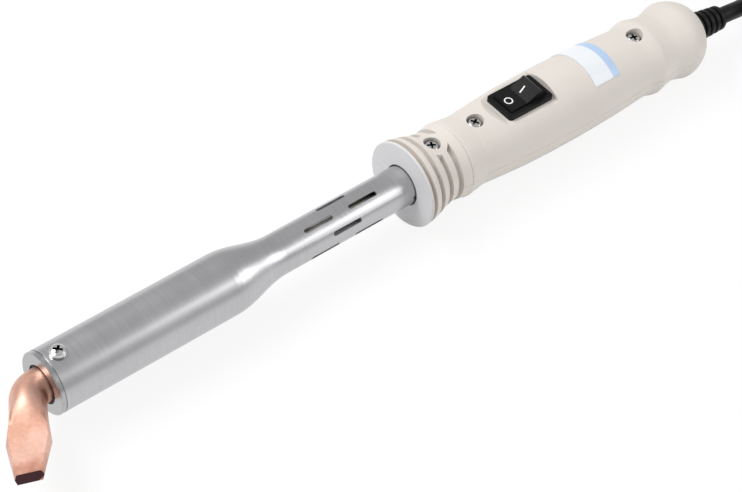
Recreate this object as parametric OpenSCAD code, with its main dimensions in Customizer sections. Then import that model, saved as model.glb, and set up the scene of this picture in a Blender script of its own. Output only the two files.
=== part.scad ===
// Heavy electric soldering iron with a bent copper bit, a slotted steel barrel,
// a three-piece moulded handle, a rocker switch and a cord with a plug.
// Working frame: X runs from the barrel's front face to the cord, switch on +Z, millimetres.

/* [Copper bit] */
// Radius of the copper rod
bit_r = 6.25; // [6.2:0.01:6.3]
// Angle of the bend
bit_bend = 56.6; // [50:0.2:60]
// Turn of the bend's plane about the barrel, from straight up towards -Y
bit_roll = 98.8; // [90:0.2:105]
// Distance of the bend's corner in front of the barrel
bit_corner = 5.5; // [5.4:0.1:7]
// Length from the corner to the working edge
bit_reach = 38.4; // [34:0.2:42]
// Width of the blade across its shoulders
blade_w = 14.8; // [13.5:0.1:15]
// Width of the working edge
edge_w = 9.3; // [8:0.1:11]
// Thickness of the working edge
edge_t = 4.4; // [3.5:0.1:5]

/* [Barrel] */
// Outer radius over the heater
barrel_r = 11.5; // [11.4:0.05:11.6]
// Outer radius of the neck
neck_r = 7.5; // [7.4:0.05:7.6]
// Thickness of the tube's wall
barrel_wall = 0.7; // [0.6:0.05:0.75]
// Start of the shoulder
shoulder_x = 73.5; // [73:0.5:78]
// Length of the shoulder
shoulder_len = 23.5; // [22:0.5:26]
// Back end of the tube, inside the handle
barrel_end = 182.5; // [180:0.5:182.5]
// Length of one cooling slot
slot_len = 12.5; // [10:0.5:13]
// Width of one cooling slot
slot_w = 1.7; // [1.4:0.1:2]
// Middle of the slot pattern
slot_mid = 123.2; // [121:0.1:125]
// Distance between the middles of two slots in a row
slot_pitch = 19.7; // [18:0.1:21]

/* [Handle] */
// Front face of the flange
flange_x = 153.9; // [153.5:0.1:154]
// Tilt of the grip's axis below the barrel's
droop = 1.0; // [0.8:0.1:1.2]
// Thickness of the mouldings
wall = 2.0; // [1.8:0.1:2.2]
// Joint between the collar cover and the grip cover
seam_x = 174.9; // [174.5:0.1:175.2]
// Place of the collar screw
collar_screw_x = 166.2; // [166:0.1:166.4]
// Place of the front grip screw
front_screw_x = 186.5; // [186.3:0.1:187]
// Place of the rear grip screw
rear_screw_x = 266.2; // [265.8:0.1:266.6]

/* [Switch] */
// Middle of the switch along the handle
switch_x = 208.3; // [208:0.1:208.6]
// Length of the bezel
bezel_l = 21; // [20.8:0.1:21.2]
// Width of the bezel
bezel_w = 13.5; // [13.2:0.1:13.8]
// Height of the flat seat above the grip's axis
seat_z = 12.15; // [12:0.05:12.3]
// Thickness of the bezel
bezel_t = 1.8; // [1.6:0.1:2]
// Tilt of the rocker to each side of the middle
rocker_tilt = 13; // [12:0.5:13]

/* [Cord] */
// Radius of the cord
cord_r = 3.3; // [3.25:0.05:3.35]
// Extra tilt of the strain relief below the grip's axis
relief_droop = 6; // [5:0.5:6]
// Length of one straight run of the stored hank
hank_run = 61; // [58:1:64]

/* [Hidden] */
$fn = 72;

fit = 0.05;

// Heater
cap_t = 2.0;
spigot_len = 11;
bit_screw_x = 6.4;
bit_tail = 60;
core_r = 7.2;
core_wall = 0.85;
core_end = 72;
former_r = 8.2;
coil_r = 8.82;
coil_wire_r = 0.4;
coil_start = 18;
coil_turns = 16;
coil_pitch = 3;
coil_end = coil_start + coil_turns * coil_pitch;
wrap_r = 10;
lead_r = 0.35;
lead_angle = 223.5;

// Handle. The grip's own axis is tilted about this point of the barrel's axis.
droop_x = 165;
parting_gap = 0.1;
collar_end = seam_x - 0.1;
clamp_ring_r = 9.5;
grip_end = 300;
cavity_start = 177;
end_wall = 294;
relief_x = 296;
relief_len = 20;

// Outline of the collar without its grooves, then of the grip: [x, radius]
collar_points = [[flange_x, 16.7], [157, 16.35], [160, 15.7], [163, 14.75], [166, 14.0], [169, 13.6],
    [171.5, 13.95], [175.5, 14.7]];
grip_points = [[172.5, 14.4], [177, 14.6], [182.5, 13.65], [190, 14.1], [205, 15.05], [226, 15.4],
    [246, 14.95], [258, 14.3], [265, 13.9], [267.5, 14.25], [271, 15.1], [274.5, 14.35], [280, 13.6],
    [284, 14.3], [288, 15.3], [292, 14.4], [296, 12.2], [298.5, 9.3], [grip_end, 6.5]];
// Cooling grooves of the collar: [start, end, radius of the floor, broken by the screw's pad]
grooves = [[154.8, 156.6, 14.0, false], [158.8, 161.0, 13.4, false], [163.75, 166.1, 12.0, true],
    [168.8, 171.1, 11.8, true]];
screw_pad_r = 5.6;

// Switch
pivot_z = 10.6;
rocker_w = 9.6;
rocker_half = 6.72;
rocker_mid_z = 4.2;
rocker_end_z = 5.75;
rocker_end_r = norm([rocker_half, rocker_end_z]);
stem_reach = 6.2;
housing_floor_z = -0.85;
lever_z = 3.4;
lever_tilt = 8;
lever_pin_r = 0.5;
contact_x = 5.1;

// Terminal block
block_x = 230;
block_l = 16;
pole_y = 3.7;
pole_z = -2.8;
lead_z = -3.9;

// Cord
cord_start = 275;
clamp_x = 276;
clamp_l = 8;
core_wire_r = 1.0;
fold_r = 19.8;
lay = 2 * cord_r;
tie_t = 0.6;
plug_len = 40;
plug_r = 18.2;
plug_tilt = 12;
plug_rim_x = 30;
plug_pin_len = 19;
plug_pin_r = 2.4;
plug_root_r = 2;
plug_pin_y = 9.5;

// Helpers: a smooth curve through a list of [x, y] points
function segment(p, x, i = 0) = (i >= len(p) - 2 || x <= p[i + 1][0]) ? i : segment(p, x, i + 1);
function slope(p, i) = let (a = max(i - 1, 0), b = min(i + 1, len(p) - 1))
    (p[b][1] - p[a][1]) / (p[b][0] - p[a][0]);
function curve_at(p, x) = let (
    i = segment(p, x),
    h = p[i + 1][0] - p[i][0],
    t = (x - p[i][0]) / h,
    rise = p[i + 1][1] - p[i][1],
    m0 = slope(p, i) * h,
    m1 = slope(p, i + 1) * h
) p[i][1] + m0 * t + (3 * rise - 2 * m0 - m1) * t * t + (m0 + m1 - 2 * rise) * t * t * t;
function unit(v) = v / norm(v);

// Frame of the bit: its direction after the bend, and the two axes across it
bit_dir = [-cos(bit_bend), -sin(bit_bend) * sin(bit_roll), -sin(bit_bend) * cos(bit_roll)];
blade_up = [0, -cos(bit_roll), sin(bit_roll)];
bend_in = [0, -sin(bit_roll), -cos(bit_roll)];
bend_r = 7.5;
bend_set = bend_r * tan(bit_bend / 2);
bend_start = [bend_set - bit_corner, 0, 0];
corner = [-bit_corner, 0, 0];

// Stations along the blade: [distance from the corner, half width, half thickness, flatness, skew]
blade_stations = [[7, bit_r, bit_r, 0, 0], [9.5, bit_r, 5.8, 0.3, 0], [12, 6.35, 5.35, 0.6, 0],
    [15, 6.55, 4.85, 0.85, 0], [19, 6.95, 4.3, 1, 0], [23.7, blade_w / 2, 3.65, 1, 0],
    [31, (blade_w + edge_w) / 4, 2.93, 1, 0.09], [bit_reach, edge_w / 2, edge_t / 2, 1, 0.183]];
ring_sides = 32;
flat_share = 0.86;

// A point of the blade's cross-section, between a circle and a flat hexagon
function hexagon(k, a, b, c) = let (q = k % 16, s = k < 16 ? 1 : -1)
    s * (q < 4 ? [a + (c - a) * q / 4, b * q / 4]
        : q < 12 ? [c - 2 * c * (q - 4) / 8, b]
        : [-c - (a - c) * (q - 12) / 4, b - b * (q - 12) / 4]);
function blade_point(k, st) = let (
    turn = 360 * k / ring_sides,
    round = [st[1] * cos(turn), st[2] * sin(turn)],
    flat = hexagon(k, st[1], st[2], st[1] * flat_share),
    q = round + (flat - round) * st[3]
) [q[0], q[1], st[0] - st[4] * q[0]];
function blade_ring(st) = let (across = unit(cross(blade_up, bit_dir)))
    [for (k = [0:ring_sides - 1]) let (q = blade_point(k, st))
        corner + across * q[0] - blade_up * q[1] + bit_dir * q[2]];
function bend_ring(a) = let (
    centre = bend_start + bend_r * (sin(a) * [-1, 0, 0] + (1 - cos(a)) * bend_in),
    across = cos(a) * bend_in + sin(a) * [1, 0, 0]
) [for (k = [0:ring_sides - 1]) let (turn = 360 * k / ring_sides)
    centre + bit_r * (cos(turn) * across - sin(turn) * blade_up)];
tail_ring = [for (spot = bend_ring(0)) [bit_tail, spot[1], spot[2]]];
bit_rings = concat([for (i = [0:8]) bend_ring(bit_bend * i / 8)],
    [for (st = blade_stations) blade_ring(st)]);
bit_edge = bit_rings[len(bit_rings) - 1];

// Joins a list of rings of points into one closed skin
module skin(rings) {
    n = len(rings[0]);
    last = len(rings) - 1;
    polyhedron(
        points = [for (ring = rings) each ring],
        faces = concat(
            [[for (k = [n - 1:-1:0]) k]],
            [for (i = [0:last - 1]) for (k = [0:n - 1]) let (j = (k + 1) % n)
                each [[i * n + k, (i + 1) * n + j, (i + 1) * n + k],
                    [i * n + k, i * n + j, (i + 1) * n + j]]],
            [[for (k = [0:n - 1]) last * n + k]]));
}

// Sweeps a round section along a list of points
function heading(p, i) = unit(p[min(i + 1, len(p) - 1)] - p[max(i - 1, 0)]);
function tube_ring(p, i, r, sides) = let (
    along = heading(p, i),
    side = unit(cross(abs(along[2]) > 0.9 ? [1, 0, 0] : [0, 0, 1], along)),
    up = cross(along, side)
) [for (k = [0:sides - 1]) let (turn = 360 * (k + 0.5) / sides)
    p[i] + r * (cos(turn) * side - sin(turn) * up)];
module swept(p, r, sides = 8) {
    skin([for (i = [0:len(p) - 1]) tube_ring(p, i, r, sides)]);
}

// Frames: the model's own frame stands on its lowest point, centred on the iron without its cord
function grip_spot(p) = [
    droop_x + (p[0] - droop_x) * cos(droop) + p[2] * sin(droop),
    p[1],
    -(p[0] - droop_x) * sin(droop) + p[2] * cos(droop)];
function relief_spot(p) = grip_spot([
    relief_x + p[0] * cos(relief_droop) + p[2] * sin(relief_droop),
    p[1],
    -p[0] * sin(relief_droop) + p[2] * cos(relief_droop)]);
low_z = min([for (x = [284:0.25:292]) grip_spot([x, 0, -curve_at(grip_points, x)])[2]]);
relief_tip_r = 4.9;
relief_tip = relief_spot([relief_len, 0, 0]);
front_x = min([for (p = bit_edge) p[0]]);
near_y = min([for (p = bit_edge) p[1]]);
back_x = relief_spot([relief_len, 0, relief_tip_r])[0];
far_y = curve_at(collar_points, flange_x);
home = [-(front_x + back_x) / 2, -(near_y + far_y) / 2, -low_z];
module placed() {
    translate(home) children();
}
module in_grip() {
    translate([droop_x, 0, 0]) rotate([0, droop, 0]) translate([-droop_x, 0, 0]) children();
}
module in_relief() {
    in_grip() translate([relief_x, 0, 0]) rotate([0, relief_droop, 0]) children();
}

// Shapes turned about the X axis from [radius, x] points, and plain rods along X and Z
module turned(p, from = 0, angle = 360) {
    rotate([90, 0, 90]) rotate([0, 0, from]) rotate_extrude(angle = angle) polygon(p);
}
module rod(x0, x1, r) {
    translate([x0, 0, 0]) rotate([0, 90, 0]) cylinder(h = x1 - x0, r = r);
}
module pipe(x0, x1, r, bore) {
    turned([[bore, x0], [r, x0], [r, x1], [bore, x1]]);
}
module post(x, y, z0, z1, r) {
    translate([x, y, z0]) cylinder(h = z1 - z0, r = r);
}
module box(low, high) {
    translate(low) cube(high - low);
}

// Cross-head screw standing on z = 0, with its shank below
module pan_screw(head_r, head_h, shank_r, shank_len) {
    recess_w = 0.32 * head_r;
    recess_l = 1.15 * head_r;
    difference() {
        union() {
            rotate_extrude() polygon([[0, 0], [head_r, 0], [head_r, 0.45 * head_h],
                [0.92 * head_r, 0.72 * head_h], [0.72 * head_r, 0.9 * head_h],
                [0.4 * head_r, head_h], [0, head_h]]);
            translate([0, 0, -shank_len]) cylinder(h = shank_len + 0.1, r = shank_r);
        }
        for (turn = [0, 90]) rotate([0, 0, turn + 20])
            translate([-recess_l / 2, -recess_w / 2, 0.35 * head_h]) cube([recess_l, recess_w, head_h]);
    }
}

// Copper bit
module copper_bit() {
    color("#e0a48c") placed() skin(concat([tail_ring], bit_rings));
}

// Heating head
module end_cap() {
    rim = 0.4;
    hole_r = core_r + fit;
    spigot_r = barrel_r - barrel_wall - fit;
    joint_w = 0.3;
    joint_depth = 0.4;
    color("#c9c9c6") placed() difference() {
        turned([[hole_r, 0], [barrel_r - rim, 0], [barrel_r, rim], [barrel_r, cap_t],
            [spigot_r, cap_t], [spigot_r, cap_t + spigot_len], [hole_r, cap_t + spigot_len]]);
        turned([[barrel_r - joint_depth, cap_t - joint_w], [barrel_r + 1, cap_t - joint_w],
            [barrel_r + 1, cap_t + 1], [barrel_r - joint_depth, cap_t + 1]]);
        post(bit_screw_x, 0, 0, barrel_r + 1, 1.5 + fit);
    }
}

module bit_screw() {
    color("#dcdcdc") placed() translate([bit_screw_x, 0, barrel_r])
        rotate([0, 0, 25]) pan_screw(2.9, 2.0, 1.5, barrel_r - bit_r - fit);
}

function barrel_at(x) = let (t = max(0, min(1, (x - shoulder_x) / shoulder_len)))
    neck_r + (barrel_r - neck_r) * (1 + cos(180 * t)) / 2;

module cooling_slot(x) {
    half = (slot_len - slot_w) / 2;
    box([x - half, -slot_w / 2, neck_r - 2], [x + half, slot_w / 2, neck_r + 1]);
    for (end = [-half, half]) post(x + end, 0, neck_r - 2, neck_r + 1, slot_w / 2);
}

module barrel() {
    steps = 12;
    stations = concat([cap_t], [for (i = [0:steps]) shoulder_x + shoulder_len * i / steps], [barrel_end]);
    outside = [for (x = stations) [barrel_at(x), x]];
    inside = [for (i = [len(stations) - 1:-1:0]) [barrel_at(stations[i]) - barrel_wall, stations[i]]];
    color("#c4c2bf") placed() difference() {
        turned(concat(outside, inside));
        for (turn = [0:90:270]) rotate([18 + turn, 0, 0])
            for (side = [-0.5, 0.5]) cooling_slot(slot_mid + side * slot_pitch);
        for (turn = [0:90:270]) rotate([-27 + turn, 0, 0]) cooling_slot(slot_mid);
        post(bit_screw_x, 0, 0, barrel_r + 1, 1.6);
        post(collar_screw_x, 0, 0, neck_r + 1, 1.6);
        rotate([88, 0, 0]) post(153.75, 0, 0, neck_r + 1, 0.75);
    }
}

module core_tube() {
    color("#77716b") placed() difference() {
        pipe(cap_t, core_end, core_r, core_r - core_wall);
        post(bit_screw_x, 0, 0, core_r + 1, 1.7);
    }
}

module heater_former() {
    color("#d8cfae") placed() pipe(cap_t + spigot_len + 1, core_end, former_r, core_r + fit);
}

function coil_spot(turns) = let (turn = lead_angle - 180 + 94 + 360 * turns)
    [coil_start + coil_pitch * turns, coil_r * cos(turn), coil_r * sin(turn)];

module heating_coil() {
    steps = 16;
    color("#8d8d90") placed()
        swept([for (i = [0:coil_turns * steps]) coil_spot(i / steps)], coil_wire_r, 5);
}

module mica_wrap() {
    color("#cdbf95") placed() pipe(coil_start + 3, coil_end + 1, wrap_r, coil_r + coil_wire_r + 0.13);
}

function around(x, r, turn) = [x, r * cos(turn), r * sin(turn)];
near_lead = 360 - (lead_angle - 180);
far_lead = lead_angle;

module rear_insulator() {
    x = core_end + 0.2;
    color("#e9e4da") placed() difference() {
        pipe(x, x + 3, barrel_r - barrel_wall - 0.6, 3);
        for (turn = [near_lead, far_lead]) translate(around(0, coil_r, turn)) rod(x - 1, x + 4, 0.6);
    }
}

module heater_leads() {
    inner = norm([pole_y, lead_z]);
    tilt = atan2(-lead_z, pole_y);
    color("#9a9a9a") placed() {
        swept([around(coil_end, coil_r, near_lead), around(core_end + 5, coil_r, near_lead),
            around(92, inner, 360 - tilt), around(236, inner, 360 - tilt)], lead_r);
        swept([around(coil_start, wrap_r + 0.4, far_lead), around(coil_end + 1.5, wrap_r + 0.4, far_lead),
            around(core_end - 0.5, coil_r, far_lead), around(core_end + 5, coil_r, far_lead),
            around(92, inner, 180 + tilt), around(236, inner, 180 + tilt)], lead_r);
    }
}

module lead_sleeves() {
    color("#e6dfd0") placed() for (y = [-pole_y, pole_y])
        translate([0, y, lead_z]) pipe(97, block_x - 2, 1.0, lead_r + fit);
}

module tube_clamp() {
    color("#a8a8a8") placed() difference() {
        pipe(161.5, 171, clamp_ring_r, neck_r + fit);
        post(collar_screw_x, 0, 0, clamp_ring_r + 1, 1.5 + fit);
    }
}

// Handle
module collar_solid() {
    turned(concat([[0, flange_x], [16.3, flange_x]],
        [for (x = [flange_x + 0.4:1.3:175]) [curve_at(collar_points, x), x]],
        [[14.68, 175.4], [0, 175.4]]));
}

module groove_cut(g) {
    turned([[g[2], g[0]], [20, g[0]], [20, g[1]], [g[2], g[1]]]);
}

module collar_bores() {
    rod(flange_x - 1, 160.1, neck_r + 0.5);
    rod(160, 171.5, clamp_ring_r + 0.1);
    rod(171, cavity_start + 1, neck_r + 0.15);
}

module grip_solid() {
    stations = concat([for (x = [172.5:3.5:263.5]) x], [for (x = [265:1.25:grip_end]) x]);
    turned(concat([[0, stations[0]]], [for (x = stations) [curve_at(grip_points, x), x]],
        [[0, stations[len(stations) - 1]]]));
}

module grip_cavity() {
    stations = [cavity_start, 182.5, 190, 205, 226, 246, 265, 271, 280, 288, 291, end_wall];
    turned(concat([[0, cavity_start]], [for (x = stations) [curve_at(grip_points, x) - wall, x]],
        [[0, end_wall]]));
}

module relief_hole() {
    translate([relief_x, 0, 0]) rotate([0, relief_droop, 0]) rod(-2.8, 8, 6.2);
}

module upper_side() {
    box([140, -25, parting_gap / 2], [310, 25, 30]);
}
module lower_side() {
    box([140, -25, -30], [310, 25, -parting_gap / 2]);
}

screw_top_z = 13.0;
screw_head_h = 1.9;
screw_seat_z = screw_top_z - screw_head_h;
collar_seat_z = 11.05;

module lower_shell() {
    post_top = 1.4;
    color("#dbd6cf") placed() {
        difference() {
            union() {
                intersection() {
                    collar_solid();
                    lower_side();
                    box([150, -25, -30], [seam_x, 25, 0]);
                }
                intersection() {
                    in_grip() intersection() {
                        difference() {
                            grip_solid();
                            grip_cavity();
                        }
                        lower_side();
                    }
                    box([seam_x, -25, -30], [310, 25, 5]);
                }
                in_grip() {
                    for (x = [front_screw_x, rear_screw_x]) post(x, 0, -13, post_top, 2.6);
                    box([clamp_x, -8.8, -9.5], [clamp_x + clamp_l, 8.8, -0.5]);
                    box([clamp_x + 0.5, -4.5, -12.4], [clamp_x + clamp_l - 0.5, 4.5, -9]);
                    for (x = [232, 242]) box([x, -6.5, -13.1], [x + 2.5, 1.8, -7.65]);
                }
            }
            collar_bores();
            for (g = grooves) groove_cut(g);
            in_grip() {
                relief_hole();
                rod(clamp_x - 1, clamp_x + clamp_l + 1, cord_r + fit);
                for (x = [front_screw_x, rear_screw_x]) post(x, 0, -8.5, post_top + 1, 1.45 + fit);
                for (y = [-6.2, 6.2]) post(clamp_x + clamp_l / 2, y, -8, 1, 1.25 + fit);
            }
        }
    }
}

module collar_cover() {
    color("#dbd6cf") placed() difference() {
        intersection() {
            collar_solid();
            upper_side();
            box([150, -25, 0], [collar_end, 25, 25]);
        }
        collar_bores();
        for (g = grooves) difference() {
            groove_cut(g);
            if (g[3]) post(collar_screw_x, 0, 0, 20, screw_pad_r);
        }
        post(collar_screw_x, 0, 0, 20, 1.65);
        post(collar_screw_x, 0, collar_seat_z, 20, 3.25);
    }
}

module grip_cover() {
    body_l = 19.2;
    body_w = 11.8;
    pad_start = switch_x - bezel_l / 2 - 1.0;
    pad_end = switch_x + bezel_l / 2 + 0.8;
    ramp_l = 6.5;
    color("#dbd6cf") placed() intersection() {
        box([seam_x + 0.1, -25, -10], [310, 25, 30]);
        in_grip() difference() {
            union() {
                intersection() {
                    difference() {
                        grip_solid();
                        grip_cavity();
                    }
                    upper_side();
                }
                intersection() {
                    grip_solid();
                    union() {
                        box([pad_start - 6, -13, seat_z - wall], [pad_end + 2, 13, 16]);
                        for (x = [front_screw_x, rear_screw_x]) {
                            post(x, 0, 1.5, 14, 3.0);
                            post(x, 0, 9.0, 14, 4.5);
                        }
                    }
                }
            }
            box([pad_start, -12, seat_z], [pad_end, 12, 18]);
            rotate([90, 0, 0]) linear_extrude(26, center = true)
                polygon([[pad_start - 0.2, seat_z + 0.05], [pad_start - ramp_l, 15.4], [pad_start + 0.2, 18],
                    [pad_start + 0.2, seat_z + 0.05]]);
            box([switch_x - body_l / 2 - 0.1, -body_w / 2 - 0.1, 0],
                [switch_x + body_l / 2 + 0.1, body_w / 2 + 0.1, 18]);
            relief_hole();
            for (x = [front_screw_x, rear_screw_x]) {
                post(x, 0, 0, 16, 1.65);
                post(x, 0, screw_seat_z, 18, 3.25);
            }
            rod(171, cavity_start + 1, neck_r + 0.35);
        }
    }
}

module collar_screw() {
    color("#dcdcdc") placed() translate([collar_screw_x, 0, collar_seat_z])
        rotate([0, 0, 40]) pan_screw(2.85, 1.9, 1.5, collar_seat_z - 5.6);
}

module grip_screws() {
    color("#dcdcdc") placed() in_grip() {
        for (spot = [[front_screw_x, 10], [rear_screw_x, 55]])
            translate([spot[0], 0, screw_seat_z]) rotate([0, 0, spot[1]])
                pan_screw(2.85, screw_head_h, 1.45, screw_seat_z + 8);
    }
}

module rating_label() {
    x0 = 237;
    x1 = 249.6;
    stations = [for (i = [0:3]) x0 + (x1 - x0) * i / 3];
    lift = 0.05;
    thick = 0.12;
    outside = [for (x = stations) [curve_at(grip_points, x) + lift + thick, x]];
    inside = [for (i = [3:-1:0]) [curve_at(grip_points, stations[i]) + lift, stations[i]]];
    color("#f4f4f6") placed() in_grip() turned(concat(inside, [for (i = [0:3]) outside[i]]), 28, 105);
}

// Switch, in the grip's frame
module rounded_plate(l, w, r, h) {
    linear_extrude(h) {
        square([l - 2 * r, w], center = true);
        square([l, w - 2 * r], center = true);
        for (x = [-1, 1], y = [-1, 1]) translate([x * (l / 2 - r), y * (w / 2 - r)]) circle(r = r);
    }
}

module switch_housing() {
    color("#151515") placed() in_grip() translate([switch_x, 0, 0]) difference() {
        union() {
            translate([0, 0, seat_z]) rounded_plate(bezel_l, bezel_w, 1.2, bezel_t);
            box([-9.6, -5.9, housing_floor_z], [9.6, 5.9, seat_z + 0.1]);
        }
        box([-9.0, -4.95, 1.4], [9.0, 4.95, 20]);
        translate([0, 0, pivot_z]) rotate([90, 0, 0]) cylinder(h = 11.2, r = 1.2 + fit, center = true);
        for (x = [-contact_x, 0]) box([x - 0.45, -2.45, -2], [x + 0.45, 2.45, 2]);
    }
}

module rocker() {
    bottom = -0.92;
    arc_top = asin(rocker_end_z / rocker_end_r);
    arc_low = asin(bottom / rocker_end_r);
    steps = 8;
    rear = [for (i = [0:steps]) let (a = arc_top + (arc_low - arc_top) * i / steps)
        rocker_end_r * [cos(a), sin(a)]];
    front = [for (i = [steps:-1:0]) [-rear[i][0], rear[i][1]]];
    color("#1a1a1a") placed() in_grip() translate([switch_x, 0, pivot_z])
        rotate([0, -rocker_tilt, 0]) {
            rotate([90, 0, 0]) linear_extrude(rocker_w, center = true)
                polygon(concat([[0, rocker_mid_z]], rear, [[2, -1.6], [-2, -1.6]], front));
            rotate([90, 0, 0]) cylinder(h = 11.0, r = 1.2, center = true);
            box([-1.1, -2, 1.1 - stem_reach], [1.1, 2, 0]);
            translate([0, 0, 1.1 - stem_reach]) rotate([90, 0, 0]) cylinder(h = 4, r = 1.1, center = true);
        }
}

module contact_lever() {
    half = 5.6;
    color("#c98a4b") placed() in_grip() translate([switch_x, 0, lever_z])
        rotate([0, lever_tilt, 0]) {
            box([-half, -1.8, 0], [half, 1.8, 0.6]);
            post(-contact_x + 0.5, 0, -0.5, 0.1, 0.9);
            rotate([90, 0, 0]) cylinder(h = 3.6, r = lever_pin_r, center = true);
        }
}

module switch_terminals() {
    color("#cfb06a") placed() in_grip() translate([switch_x, 0, 0]) {
        box([-0.4, -2.4, -7.3], [0.4, 2.4, lever_z - lever_pin_r - 0.1]);
        box([-contact_x - 0.4, -2.4, -7.3], [-contact_x + 0.4, 2.4, 1.9]);
    }
}

// Wiring
module terminal_block() {
    color("#efeae0") placed() in_grip() difference() {
        box([block_x, -7.2, -7.6], [block_x + block_l, 7.2, 2.4]);
        for (y = [-pole_y, pole_y]) {
            translate([0, y, pole_z]) rod(block_x - 1, block_x + block_l + 1, 2.25);
            for (x = [4, 12]) post(block_x + x, y, pole_z, 4, 1.9);
        }
    }
}

module terminal_sleeves() {
    color("#c9a94e") placed() in_grip() difference() {
        for (y = [-pole_y, pole_y]) translate([0, y, pole_z])
            pipe(block_x + 1, block_x + block_l - 1, 2.2, 1.4);
        for (y = [-pole_y, pole_y], x = [4, 12]) post(block_x + x, y, pole_z, 4, 1.2 + fit);
    }
}

module terminal_screws() {
    color("#b9b9b9") placed() in_grip() for (y = [-pole_y, pole_y], x = [4, 12])
        translate([block_x + x, y, 0.6])
            pan_screw(1.8, 1.2, 1.2, 0.6 - pole_z - (x == 4 ? lead_r : core_wire_r) - 0.1);
}

module live_wire() {
    color("#7a4a2a") placed() in_grip() swept([[cord_start, 1.3, -0.75], [273.6, 1.6, -0.8],
        [269.6, 5.2, -1.5], [262, 7.2, -2.2], [252, 9.1, -3], [216, 9.1, -4], [207, 6, -8],
        [203.6, 1.5, -9.6], [203.2, 0, -8.9], [203.2, 0, -7.3]], core_wire_r);
}

module switched_wire() {
    color("#2a2a2a") placed() in_grip() swept([[switch_x, 0, -7.3], [switch_x, 0, -8.6],
        [211, 1.6, -10.2], [217, 3.8, -10.9], [247, 3.8, -10.9], [251.5, 3.7, -9.4],
        [252.5, 3.7, -6.2], [250.5, 3.7, -3.6], [247, 3.7, pole_z], [240, 3.7, pole_z]], core_wire_r);
}

module neutral_wire() {
    color("#3b6fb5") placed() in_grip() swept([[cord_start, -1.3, -0.75], [273.6, -1.6, -0.8],
        [269.6, -5.2, -1.5], [262, -6.4, -2.3], [253, -4.2, -2.8], [248, -3.7, pole_z],
        [240, -3.7, pole_z]], core_wire_r);
}

module earth_wire() {
    color("#6d9a3a") placed() in_grip() swept([[cord_start, 0, 1.5], [273.2, -0.6, 2.3],
        [269.6, -5.2, 2.6], [262, -8.0, 2.4], [252, -9.2, 1.2], [214, -9.2, 0.4], [196, -8.4, 0.5],
        [190.2, -7.9, 0.5]], core_wire_r);
}

module earth_tag() {
    color("#cfb06a") placed() box([178.5, -neck_r - 0.8, -2.2], [190, -neck_r, 2.2]);
}

module cord_clamp() {
    color("#3a3a3a") placed() in_grip() difference() {
        box([clamp_x, -8.8, 0.5], [clamp_x + clamp_l, 8.8, 5.2]);
        rod(clamp_x - 1, clamp_x + clamp_l + 1, cord_r + fit);
        for (y = [-6.2, 6.2]) post(clamp_x + clamp_l / 2, y, 0, 6, 1.35);
    }
}

module clamp_screws() {
    color("#b9b9b9") placed() in_grip() for (y = [-6.2, 6.2])
        translate([clamp_x + clamp_l / 2, y, 5.2]) pan_screw(2.1, 1.4, 1.25, 12);
}

module cord_tail() {
    kink = 2;
    color("#141414") placed() {
        swept([grip_spot([cord_start, 0, 0]), grip_spot([relief_x - kink, 0, 0]),
            relief_spot([kink, 0, 0]), relief_tip], cord_r, 16);
    }
}

// Strain relief: a flange inside the shells, then rings that shrink towards the cord
module strain_relief() {
    ring_pitch = 3.2;
    ring_count = 5;
    root_r = 5.8;
    first = 4.4;
    bore = cord_r + fit;
    function ring_r(i) = root_r + (relief_tip_r - root_r) * i / (ring_count - 1);
    rings = [for (i = [0:ring_count - 1]) each let (x = first + i * ring_pitch, r = ring_r(i))
        [[r - 1.1, x], [r - 0.2, x + 0.05], [r, x + 0.5], [r, x + 1.7], [r - 0.2, x + 2.1],
            [r - 1.1, x + 2.15]]];
    color("#171717") placed() in_relief() turned(concat(
        [[4.2, -5], [7.2, -5], [7.2, -3.2], [5.5, -3.2], [5.5, first - 0.1]], rings,
        [[relief_tip_r - 1.1, relief_len], [bore, relief_len], [bore, 0.6], [4.2, 0.4]]));
}

// Cord on the surface, in the model's own frame: from the strain relief to the hank, and from
// the hank to the plug. The hank lies along X behind the handle.
cord_exit = relief_tip + home;
cord_aim = unit(relief_spot([1, 0, 0]) - relief_spot([0, 0, 0]));
hank_x = 226;
hank_z = tie_t;
outer_r = fold_r + lay;
route_to_hank = concat([cord_exit, cord_exit + 6 * cord_aim],
    [[186, 9.3, 9.9], [191, 10.8, 8.0], [195, 12.7, 6.5], [201, 16.2, 4.8], [207, 19.6, 4.0],
    [212.6, 22.9, 3.9]]);
route_to_plug = [[287, 26.4, 17.1], [293, 26.3, 16.9], [300, 25.4, 15.5], [308, 23.3, 12.2],
    [316, 20.5, 8.3], [324, 17.3, 5.3], [332, 14.3, 3.9], [340, 12.1, 4.0], [348, 11.2, 5.4],
    [356, 11, 7.4], [364, 11, 9.4], [369, 11, 10.55]];

module mains_cord() {
    color("#141414") {
        swept(route_to_hank, cord_r, 10);
        swept(concat(route_to_plug, [plug_spot(0)]), cord_r, 10);
    }
}

module stadium(r) {
    circle(r = r);
    translate([hank_run, 0]) circle(r = r);
    translate([0, -r]) square([hank_run, 2 * r]);
}

module ring_wall(inner, outer, layers) {
    linear_extrude(layers * lay) difference() {
        stadium(outer);
        stadium(inner);
    }
}

module cord_hank() {
    color("#141414") translate([hank_x, 0, hank_z]) {
        ring_wall(fold_r - cord_r, fold_r + cord_r, 3);
        ring_wall(fold_r + cord_r, outer_r + cord_r, 2);
    }
}

// Tie round the near run of the hank
module hank_tie() {
    clear = 0.05;
    low = [fold_r - cord_r - clear, -clear];
    high = [outer_r + cord_r + clear, 3 * lay + clear];
    width = 8;
    color("#e8e8e6") translate([hank_x + hank_run / 2 - width / 2, 0, hank_z]) rotate([90, 0, 90])
        linear_extrude(width) mirror([1, 0]) difference() {
            translate(low - [tie_t, tie_t - clear]) square(high - low + [2 * tie_t, 2 * tie_t - clear]);
            translate(low) square(high - low);
        }
}

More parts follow.
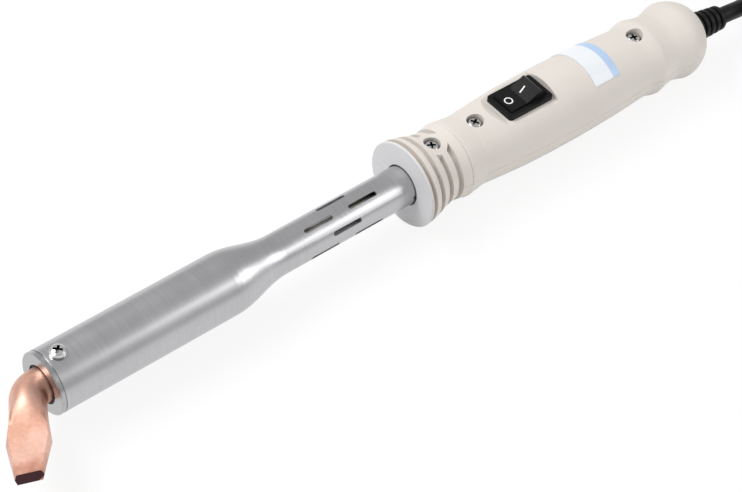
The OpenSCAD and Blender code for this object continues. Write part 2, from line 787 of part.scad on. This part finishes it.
// Plug: it lies on the rim of its face, its back end tilted down
plug_back = [373.5, 11, plug_r * cos(plug_tilt) - plug_rim_x * sin(plug_tilt)];
function plug_spot(d) = plug_back + d * [cos(plug_tilt), 0, sin(plug_tilt)];
module in_plug() {
    translate(plug_back) rotate([0, -plug_tilt, 0]) children();
}

module plug_body() {
    color("#161616") in_plug() difference() {
        turned([[0, 0], [5.2, 0], [6.6, 13], [9.5, 16.5], [15.5, 22], [17.6, 26], [plug_r, plug_rim_x],
            [plug_r, plug_len - 0.8], [plug_r - 0.8, plug_len], [0, plug_len]]);
        for (y = [-plug_pin_y, plug_pin_y])
            translate([0, y, 0]) rod(plug_len - 9, plug_len + 1, plug_root_r + fit);
        for (side = [-1, 1]) {
            box([plug_len - 13, -3.2, side > 0 ? plug_r - 2.6 : -plug_r - 1],
                [plug_len + 1, 3.2, side > 0 ? plug_r + 1 : 2.6 - plug_r]);
            box([16, side > 0 ? plug_r - 2.4 : -plug_r - 1, -8],
                [32, side > 0 ? plug_r + 1 : 2.4 - plug_r, 8]);
        }
    }
}

module plug_pins() {
    color("#cfcfcf") in_plug() for (y = [-plug_pin_y, plug_pin_y]) translate([0, y, 0])
        turned([[0, plug_len - 9], [plug_root_r, plug_len - 9], [plug_root_r, plug_len],
            [plug_pin_r, plug_len], [plug_pin_r, plug_len + plug_pin_len - 1.6],
            [1.2, plug_len + plug_pin_len], [0, plug_len + plug_pin_len]]);
}

module plug_earth_clips() {
    t = 0.7;
    color("#cfcfcf") in_plug() for (side = [-1, 1]) {
        z = side > 0 ? plug_r - 2.6 : 2.6 - plug_r - t;
        box([plug_len - 12.5, -2.3, z], [plug_len + 0.4, 2.3, z + t]);
    }
}

copper_bit();
end_cap();
bit_screw();
barrel();
core_tube();
heater_former();
heating_coil();
mica_wrap();
rear_insulator();
heater_leads();
lead_sleeves();
tube_clamp();
lower_shell();
collar_cover();
grip_cover();
collar_screw();
grip_screws();
switch_housing();
rocker();
contact_lever();
switch_terminals();
terminal_block();
terminal_sleeves();
terminal_screws();
cord_clamp();
clamp_screws();
strain_relief();
cord_tail();
live_wire();
switched_wire();
neutral_wire();
earth_wire();
earth_tag();
rating_label();
mains_cord();
cord_hank();
hank_tie();
plug_body();
plug_pins();
plug_earth_clips();
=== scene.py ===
import math

import bmesh
import bpy
from mathutils import Matrix, Vector
from mathutils.bvhtree import BVHTree


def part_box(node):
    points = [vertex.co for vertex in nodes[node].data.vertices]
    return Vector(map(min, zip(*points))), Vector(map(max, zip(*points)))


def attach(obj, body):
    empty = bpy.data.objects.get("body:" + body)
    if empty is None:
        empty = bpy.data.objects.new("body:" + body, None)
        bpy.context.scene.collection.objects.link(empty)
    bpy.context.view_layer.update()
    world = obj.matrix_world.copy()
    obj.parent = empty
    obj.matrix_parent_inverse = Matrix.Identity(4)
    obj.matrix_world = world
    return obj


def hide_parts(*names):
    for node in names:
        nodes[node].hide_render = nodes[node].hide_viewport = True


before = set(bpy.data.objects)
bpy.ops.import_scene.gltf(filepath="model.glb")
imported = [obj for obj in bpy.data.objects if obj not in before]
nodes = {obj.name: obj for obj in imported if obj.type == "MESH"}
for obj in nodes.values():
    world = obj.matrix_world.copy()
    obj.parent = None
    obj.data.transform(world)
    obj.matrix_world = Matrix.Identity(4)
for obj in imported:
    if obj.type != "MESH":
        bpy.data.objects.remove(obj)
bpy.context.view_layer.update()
MM = 0.001

# Camera. It looks down on the iron from behind the copper bit's left, with a long lens.
# Its place is given from the middle of the barrel's front face.
LENS_MM = 121.3
SENSOR_MM = 36
barrel_low, barrel_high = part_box("barrel")
home = Vector((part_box("end_cap")[0].x, (barrel_low.y + barrel_high.y) / 2,
               (barrel_low.z + barrel_high.z) / 2))
camera_data = bpy.data.cameras.new("camera")
camera_data.lens = LENS_MM
camera_data.sensor_width = SENSOR_MM
camera_data.clip_start = 0.01
camera = bpy.data.objects.new("camera", camera_data)
right = Vector((0.76346, -0.64066, 0.08177))
down = Vector((-0.43173, -0.60041, -0.67314))
ahead = Vector((0.48035, 0.47861, -0.73498))
turn = Matrix((right, -down, -ahead)).transposed()
camera.matrix_world = Matrix.Translation(home + MM * Vector((-288.27, -428.96, 634.15))) @ turn.to_4x4()
bpy.context.scene.collection.objects.link(camera)
bpy.context.scene.camera = camera
bpy.context.scene.view_settings.view_transform = "Standard"


# Materials are built by this class. A Value wraps one socket, and sums and products of
# Values add Math nodes; the other nodes come from the methods of Finish.
class Value:
    def __init__(self, material, socket):
        self.material = material
        self.socket = socket

    def math(self, operation, first, *others):
        return self.material.node("Math", {"operation": operation}, first, *others)

    def __add__(self, other):
        return self.math("ADD", self, other)

    def __rsub__(self, other):
        return self.math("SUBTRACT", other, self)

    def __mul__(self, other):
        return self.math("MULTIPLY", self, other)

    def __rmul__(self, other):
        return self.math("MULTIPLY", other, self)


class Finish:
    def __init__(self, name, **constants):
        self.data = bpy.data.materials.new(name)
        self.data.use_nodes = True
        self.tree = self.data.node_tree
        self.shader = self.tree.nodes["Principled BSDF"]
        for socket, value in constants.items():
            self.shader.inputs[socket.replace("_", " ")].default_value = value

    def node(self, kind, settings=None, *values, output=0, **named):
        made = self.tree.nodes.new("ShaderNode" + kind)
        for setting, value in (settings or {}).items():
            setattr(made, setting, value)
        pairs = list(enumerate(values)) + [(k.replace("_", " "), v) for k, v in named.items()]
        for socket, value in pairs:
            if isinstance(value, Value):
                self.tree.links.new(value.socket, made.inputs[socket])
            else:
                made.inputs[socket].default_value = value
        return Value(self, made.outputs[output])

    def place(self, offset=(0, 0, 0), scale=(1, 1, 1)):
        spot = self.node("TexCoord", output="Object")
        return self.node("Mapping", {"vector_type": "POINT"}, spot, Location=offset, Scale=scale)

    def axis(self, vector, letter):
        return self.node("SeparateXYZ", None, vector, output=letter)

    def noise(self, vector, scale, detail=2.0, roughness=0.5):
        return self.node("TexNoise", None, Vector=vector, Scale=scale, Detail=detail, Roughness=roughness)

    def between(self, amount, low, high):
        return self.node("MapRange", None, Value=amount, To_Min=low, To_Max=high)

    def step(self, amount, low, high):
        return self.node("MapRange", {"interpolation_type": "SMOOTHSTEP"}, Value=amount,
                         From_Min=low, From_Max=high)

    def mix(self, amount, low, high):
        made = self.tree.nodes.new("ShaderNodeMix")
        made.data_type = "RGBA"
        for socket, value in (("Factor_Float", amount), ("A_Color", low), ("B_Color", high)):
            entry = next(i for i in made.inputs if i.identifier == socket)
            if isinstance(value, Value):
                self.tree.links.new(value.socket, entry)
            else:
                entry.default_value = value
        return Value(self, next(o for o in made.outputs if o.identifier == "Result_Color"))

    def feed(self, **values):
        for socket, value in values.items():
            self.tree.links.new(value.socket, self.shader.inputs[socket.replace("_", " ")])

    def bump(self, height, strength, distance):
        made = self.node("Bump", None, Strength=strength, Distance=distance, Height=height)
        self.feed(Normal=made)

    def on(self, *names):
        for name in names:
            mesh = nodes[name].data
            mesh.materials.clear()
            mesh.materials.append(self.data)


def grey(level):
    return (level, level, level, 1)


# Floor and light. A white sheet lies under the iron; the camera and shiny surfaces see it
# nearly white, and it keeps a soft shadow. Two large soft lamps stand over the iron.
FLOOR_SIZE = 6
WHITE_SHARE = 0.86
floor_mesh = bpy.data.meshes.new("floor")
half = FLOOR_SIZE / 2
floor_mesh.from_pydata([(-half, -half, 0), (half, -half, 0), (half, half, 0), (-half, half, 0)], [],
                       [(0, 1, 2, 3)])
floor = bpy.data.objects.new("floor", floor_mesh)
floor.location.z = -0.0002
bpy.context.scene.collection.objects.link(floor)
sheet = Finish("floor_white", Base_Color=grey(0.9), Roughness=0.9)
sheet.shader.inputs["Specular IOR Level"].default_value = 0
lamp_ray = sheet.node("LightPath", output="Is Camera Ray") + sheet.node("LightPath", output="Is Glossy Ray")
seen = sheet.node("Math", {"operation": "MINIMUM"}, lamp_ray, 1) * WHITE_SHARE
glow = sheet.node("Emission", None, Color=grey(1), Strength=1)
blend = sheet.node("MixShader", None, seen, Value(sheet, sheet.shader.outputs[0]), glow)
sheet.tree.links.new(blend.socket, sheet.tree.nodes["Material Output"].inputs["Surface"])
floor_mesh.materials.append(sheet.data)

WORLD_LIGHT = 0.55
world = bpy.data.worlds.new("studio")
bpy.context.scene.world = world
world.use_nodes = True
sky = world.node_tree.nodes["Background"]
sky.inputs["Color"].default_value = grey(1)
path = world.node_tree.nodes.new("ShaderNodeLightPath")
level = world.node_tree.nodes.new("ShaderNodeMapRange")
level.inputs["To Min"].default_value = WORLD_LIGHT
level.inputs["To Max"].default_value = 1
world.node_tree.links.new(path.outputs["Is Camera Ray"], level.inputs["Value"])
world.node_tree.links.new(level.outputs[0], sky.inputs["Strength"])


def lamp(name, spot, aim, size, power):
    data = bpy.data.lights.new(name, "AREA")
    data.shape = "RECTANGLE"
    data.size, data.size_y = size
    data.energy = power
    made = bpy.data.objects.new(name, data)
    made.location = spot
    made.rotation_euler = (Vector(aim) - Vector(spot)).to_track_quat("-Z", "Y").to_euler()
    bpy.context.scene.collection.objects.link(made)


lamp("key", (-0.5, 0.48, 0.9), (0, 0, 0), (0.95, 0.45), 10.5)
lamp("side", (0.7, -0.6, 0.6), (0.05, 0, 0), (0.6, 0.5), 3)

# Mains cord. A black rubber flex of 6.6 mm leaves the strain relief, sinks to the surface and
# goes into a flat hank of five and a half turns, folded for storage, that ends in the plug.
CORD_R = 3.3 * MM
HANK_X = 226
HANK_RUN = 61
INNER_R = 19.8
OUTER_R = 26.4
LAYER = 6.6
FIRST_Z = 3.9
END_STEPS = 12
cord_exit = Vector((173.111, 8.4445, 12.7233))
cord_aim = Vector((0.992546, 0, -0.121869))
to_hank = [cord_exit, cord_exit + 6 * cord_aim, Vector((186, 9.3, 9.9)), Vector((191, 10.8, 8.0)),
           Vector((195, 12.7, 6.5)), Vector((201, 16.2, 4.8)), Vector((207, 19.6, 4.0))]
to_plug = [Vector(p) for p in (
    (293, 26.3, 16.9), (300, 25.4, 15.5), (308, 23.3, 12.2), (316, 20.5, 8.3), (324, 17.3, 5.3),
    (332, 14.3, 3.9), (340, 12.1, 4.0), (348, 11.2, 5.4), (356, 11, 7.4), (364, 11, 9.4),
    (369, 11, 10.55), (373.5, 11, 11.57))]
turns = [(OUTER_R, 0), (INNER_R, 0), (INNER_R, 1), (OUTER_R, 1), (INNER_R, 2), (OUTER_R, 2)]


def hank_points():
    points = []
    for number, (radius, layer) in enumerate(turns):
        z = FIRST_Z + LAYER * layer
        first = 120 if number == 0 else 90
        if number == 0:
            points.append(Vector((HANK_X + radius * math.cos(math.radians(first)),
                                  radius * math.sin(math.radians(first)), z)))
        for part in range(5):
            points.append(Vector((HANK_X + HANK_RUN * part / 4, radius, z)))
        if number == len(turns) - 1:
            return points
        for part in range(1, END_STEPS):
            angle = math.radians(90 - 180 * part / END_STEPS)
            points.append(Vector((HANK_X + HANK_RUN + radius * math.cos(angle), radius * math.sin(angle), z)))
        for part in range(5):
            points.append(Vector((HANK_X + HANK_RUN * (1 - part / 4), -radius, z)))
        next_radius, next_layer = turns[number + 1]
        for part in range(1, END_STEPS):
            share = part / END_STEPS
            ease = share * share * (3 - 2 * share)
            reach = radius + (next_radius - radius) * ease
            height = z + LAYER * (next_layer - layer) * ease
            angle = math.radians(-90 - 180 * share)
            points.append(Vector((HANK_X + reach * math.cos(angle), reach * math.sin(angle), height)))


def smooth(points, steps):
    """The points with more between them, on a curve that goes through each."""
    dense = []
    for i in range(len(points) - 1):
        a, b = points[max(i - 1, 0)], points[i]
        c, d = points[i + 1], points[min(i + 2, len(points) - 1)]
        for k in range(steps):
            t = k / steps
            dense.append(0.5 * (2 * b + (c - a) * t + (2 * a - 5 * b + 4 * c - d) * t * t
                                + (3 * b - a - 3 * c + d) * t * t * t))
    return dense + [points[-1]]


route = [p * MM for p in smooth(to_hank + hank_points() + to_plug, 4)]
flex_curve = bpy.data.curves.new("flex", "CURVE")
flex_curve.dimensions = "3D"
flex_curve.bevel_depth = CORD_R
flex_curve.bevel_resolution = 6
flex_curve.use_fill_caps = True
spline = flex_curve.splines.new("POLY")
spline.points.add(len(route) - 1)
for spot, p in zip(spline.points, route):
    spot.co = (*p, 1)
flex = bpy.data.objects.new("flex", flex_curve)
bpy.context.scene.collection.objects.link(flex)
cord_length = sum((b - a).length for a, b in zip(route, route[1:]))
rubber = Finish("cord_rubber", Base_Color=grey(0.006), Roughness=0.42)
rubber.shader.inputs["Specular IOR Level"].default_value = 0.18
rubber.feed(Roughness=rubber.between(rubber.noise(rubber.place(), 260), 0.36, 0.52))
rubber.bump(rubber.noise(rubber.place(), 1500), 0.12, 0.0001)
flex_curve.materials.append(rubber.data)
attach(flex, "iron")
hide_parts("mains_cord", "cord_hank")
rubber.on("strain_relief", "cord_tail")

tie = Finish("tie_strap", Base_Color=(0.62, 0.62, 0.6, 1), Roughness=0.8)
tie.bump(tie.noise(tie.place(), 2500), 0.4, 0.0002)
tie.on("hank_tie")

# Plug. Black moulded rubber round two nickel plated pins and two earth springs.
moulded = Finish("plug_moulding", Base_Color=grey(0.018), Roughness=0.45)
moulded.feed(Roughness=moulded.between(moulded.noise(moulded.place(), 180), 0.4, 0.55))
moulded.bump(moulded.noise(moulded.place(), 1800), 0.15, 0.0001)
moulded.on("plug_body", "cord_clamp")

# Copper bit. A drawn copper rod, bent and forged flat, ground to a chisel and browned by heat:
# bright satin flats, redder and darker towards the working edge, and a dark end face.
BEND = math.radians(56.6)
ROLL = math.radians(98.8)
CORNER_X = -5.5
REACH = 38.4
bit_way = Vector((-math.cos(BEND), -math.sin(BEND) * math.sin(ROLL), -math.sin(BEND) * math.cos(ROLL)))
corner = home + MM * Vector((CORNER_X, 0, 0))
copper = Finish("copper", Metallic=1.0, Roughness=0.32)
spot = copper.place(offset=-corner)
along = copper.node("VectorMath", {"operation": "DOT_PRODUCT"}, spot, bit_way, output="Value")
facing = copper.node("VectorMath", {"operation": "DOT_PRODUCT"}, copper.node("TexCoord", output="Normal"),
                     bit_way, output="Value")
cloud = copper.noise(copper.place(), 90, 3)
fine = copper.noise(copper.place(), 700, 2)
near_edge = copper.step(along, 0.024, 0.042) * copper.step(cloud, 0.35, 0.75)
tone = copper.mix(copper.step(cloud, 0.38, 0.66), (0.80, 0.50, 0.40, 1), (0.70, 0.39, 0.29, 1))
tone = copper.mix(near_edge, tone, (0.42, 0.17, 0.11, 1))
tone = copper.mix(copper.step(facing, 0.85, 0.95), tone, (0.09, 0.04, 0.045, 1))
copper.feed(Base_Color=tone,
            Roughness=copper.between(fine, 0.34, 0.5) + 0.25 * copper.step(facing, 0.85, 0.95))
copper.bump(fine * 0.4 + cloud * 0.6, 0.25, 0.0003)
SHARP_EDGE = math.radians(24)
bit_mesh = nodes["copper_bit"].data.copy()
bit_mesh.name = "forged_bit"
shape = bmesh.new()
shape.from_mesh(bit_mesh)
bmesh.ops.remove_doubles(shape, verts=shape.verts, dist=0.001 * MM)
shape.to_mesh(bit_mesh)
shape.free()
bit_mesh.normals_split_custom_set([(0, 0, 0)] * len(bit_mesh.loops))
bit_mesh.shade_smooth()
bit_mesh.set_sharp_from_angle(angle=SHARP_EDGE)
bit_mesh.materials.clear()
bit_mesh.materials.append(copper.data)
forged_bit = bpy.data.objects.new("forged_bit", bit_mesh)
bpy.context.scene.collection.objects.link(forged_bit)
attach(forged_bit, "bit")
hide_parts("copper_bit")

# Barrel, end cap and heater tube. The barrel is a stainless tube, brushed round its axis, and
# the cap is turned from the same steel and held by the bit's screw.
steel = Finish("brushed_stainless", Metallic=1.0, Roughness=0.3)
lines = steel.noise(steel.place(offset=-home, scale=(1, 0.02, 0.02)), 2600, 3)
wide = steel.noise(steel.place(offset=-home, scale=(1, 0.1, 0.1)), 160, 2)
tone = steel.mix(lines * 0.75 + wide * 0.25, (0.43, 0.43, 0.44, 1), (0.62, 0.62, 0.635, 1))
steel.feed(Base_Color=tone, Roughness=steel.between(lines * 0.7 + wide * 0.3, 0.25, 0.42))
steel.bump(lines, 0.1, 0.00005)
steel.on("barrel")
turned = Finish("turned_cap", Metallic=1.0, Roughness=0.25)
ridges = turned.noise(turned.place(offset=-home, scale=(0.05, 1, 1)), 900, 2)
turned.feed(Base_Color=turned.mix(ridges, (0.38, 0.38, 0.39, 1), (0.54, 0.54, 0.555, 1)),
            Roughness=turned.between(ridges, 0.2, 0.36))
turned.bump(ridges, 0.08, 0.00005)
turned.on("end_cap")

dull = Finish("heater_steel", Metallic=1.0, Roughness=0.5)
heat = dull.noise(dull.place(), 120, 3)
dull.feed(Base_Color=dull.mix(heat, (0.28, 0.24, 0.22, 1), (0.45, 0.42, 0.40, 1)))
dull.on("core_tube", "tube_clamp", "heating_coil", "heater_leads")

# Screws. Cross-head pan screws with a bright zinc finish, and painted shade, near black, in their cross
# recesses and next to nearby parts.
bright = Finish("bright_zinc", Metallic=1.0, Roughness=0.16)
# Painted shade: an ambient occlusion mask darkens the zinc colour inside the cross recesses and where other
# parts close over the heads.
painted_recess_shade = bright.node("AmbientOcclusion", {"samples": 8}, Distance=0.0014, output="AO")
zinc = bright.mix(bright.noise(bright.place(), 500), (0.62, 0.61, 0.60, 1), (0.78, 0.78, 0.78, 1))
bright.feed(Base_Color=bright.mix(bright.step(painted_recess_shade, 0.45, 0.85), (0.05, 0.045, 0.045, 1), zinc),
            Roughness=bright.between(bright.noise(bright.place(), 900), 0.14, 0.28))
bright.on("bit_screw", "collar_screw", "grip_screws", "clamp_screws", "terminal_screws", "plug_pins",
          "plug_earth_clips")

# Heater and wiring inside. Mica, ceramic, glass sleeves, insulated wire and brass contacts.
plain_tones = {
    "mica": ((0.62, 0.55, 0.38, 1), 0.5, ("heater_former", "mica_wrap")),
    "ceramic": ((0.80, 0.78, 0.73, 1), 0.6, ("rear_insulator", "terminal_block")),
    "glass_sleeve": ((0.75, 0.71, 0.62, 1), 0.8, ("lead_sleeves",)),
    "wire_brown": ((0.16, 0.06, 0.02, 1), 0.4, ("live_wire",)),
    "wire_black": ((0.02, 0.02, 0.02, 1), 0.4, ("switched_wire",)),
    "wire_blue": ((0.03, 0.12, 0.45, 1), 0.4, ("neutral_wire",)),
    "wire_green": ((0.16, 0.32, 0.03, 1), 0.4, ("earth_wire",)),
}
for name, (colour, rough, members) in plain_tones.items():
    inner = Finish(name, Base_Color=colour, Roughness=rough)
    speck = inner.noise(inner.place(), 900)
    darker = tuple(0.8 * c for c in colour[:3]) + (1,)
    inner.feed(Base_Color=inner.mix(speck, darker, colour))
    inner.on(*members)
brass = Finish("contact_brass", Metallic=1.0, Roughness=0.3)
brass.feed(Base_Color=brass.mix(brass.noise(brass.place(), 400), (0.62, 0.42, 0.16, 1),
                                (0.78, 0.60, 0.28, 1)))
brass.on("contact_lever", "switch_terminals", "terminal_sleeves", "earth_tag")

# Handle. Three light grey mouldings with a fine spark texture: the lower shell, the collar with
# its flange and fins, and the grip cover. The flange's face is a little cooler in colour.
grip = Finish("handle_grey", Roughness=0.55)
grain = grip.noise(grip.place(), 2600, 2)
soft = grip.noise(grip.place(), 60, 2)
tone = grip.mix(soft, (0.645, 0.600, 0.555, 1), (0.695, 0.650, 0.605, 1))
cooler = 1 - grip.step(grip.axis(grip.place(offset=-home), "X"), 0.1540, 0.1545)
tone = grip.mix(cooler, tone, (0.60, 0.60, 0.61, 1))
grip.feed(Base_Color=tone, Roughness=grip.between(grain, 0.5, 0.66))
grip.bump(grain, 0.3, 0.00012)
grip.on("lower_shell", "collar_cover", "grip_cover")

# Rocker switch. Gloss black housing and rocker, with a white ring on the front half and a white
# bar on the rear half, printed on the rocker and moving with it.
gloss = Finish("switch_gloss", Base_Color=grey(0.009), Roughness=0.22)
gloss.shader.inputs["Specular IOR Level"].default_value = 0.12
gloss.feed(Roughness=gloss.between(gloss.noise(gloss.place(), 500), 0.18, 0.3))
gloss.on("switch_housing", "rocker")
RING_SPOT = (202.75, 0.0)
RING_OUTER = 1.68
RING_INNER = 1.22
RING_SIDES = 48
BAR_ENDS = ((208.6, 0.5), (211.4, 1.1))
BAR_HALF = 0.27
BAR_STEPS = 8
PRINT_T = 0.02 * MM
rocker_mesh = nodes["rocker"].data
rocker_tree = BVHTree.FromPolygons([v.co for v in rocker_mesh.vertices],
                                   [tuple(p.vertices) for p in rocker_mesh.polygons])


def printed(name, outline_pairs, closed):
    """A thin print lying on the rocker, between two lines of points given in the iron's own x and y."""
    points = []
    for pair in outline_pairs:
        for x, y in pair:
            above = home + MM * Vector((x, y, 40))
            hit, normal, _, _ = rocker_tree.ray_cast(above, Vector((0, 0, -1)))
            points.append(hit + PRINT_T * normal)
    count = len(outline_pairs)
    faces = []
    for i in range(count if closed else count - 1):
        j = (i + 1) % count
        faces.append((2 * i, 2 * i + 1, 2 * j + 1, 2 * j))
    mesh = bpy.data.meshes.new(name)
    mesh.from_pydata(points, [], faces)
    mesh.update()
    if mesh.polygons[0].normal.z < 0:
        mesh.flip_normals()
    made = bpy.data.objects.new(name, mesh)
    bpy.context.scene.collection.objects.link(made)
    mesh.materials.append(ink.data)
    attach(made, "rocker")


ink = Finish("switch_print", Roughness=0.5)
ink.feed(Base_Color=ink.mix(ink.noise(ink.place(), 2000), grey(0.8), grey(0.88)))
ring = []
for side in range(RING_SIDES):
    angle = math.tau * side / RING_SIDES
    ring.append([(RING_SPOT[0] + r * math.cos(angle), RING_SPOT[1] + r * math.sin(angle))
                 for r in (RING_OUTER, RING_INNER)])
printed("off_ring", ring, True)
(x0, y0), (x1, y1) = BAR_ENDS
slant = math.atan2(y1 - y0, x1 - x0)
aside = (-BAR_HALF * math.sin(slant), BAR_HALF * math.cos(slant))
bar = []
for part in range(BAR_STEPS + 1):
    x = x0 + (x1 - x0) * part / BAR_STEPS
    y = y0 + (y1 - y0) * part / BAR_STEPS
    bar.append([(x + aside[0], y + aside[1]), (x - aside[0], y - aside[1])])
printed("on_bar", bar, False)

# Rating label. A white film stuck across the grip, left bare, with a pale blue band at the end
# nearer the cord.
label = Finish("label_film", Roughness=0.35)
way = label.axis(label.place(offset=-home), "X")
fibre = label.noise(label.place(), 700) * 0.0002
BAND_START = 0.2463
BAND_EDGE = 0.0004
label.feed(Base_Color=label.mix(label.step(way + fibre, BAND_START, BAND_START + BAND_EDGE),
                                (0.76, 0.79, 0.83, 1), (0.42, 0.56, 0.76, 1)))
label.on("rating_label")
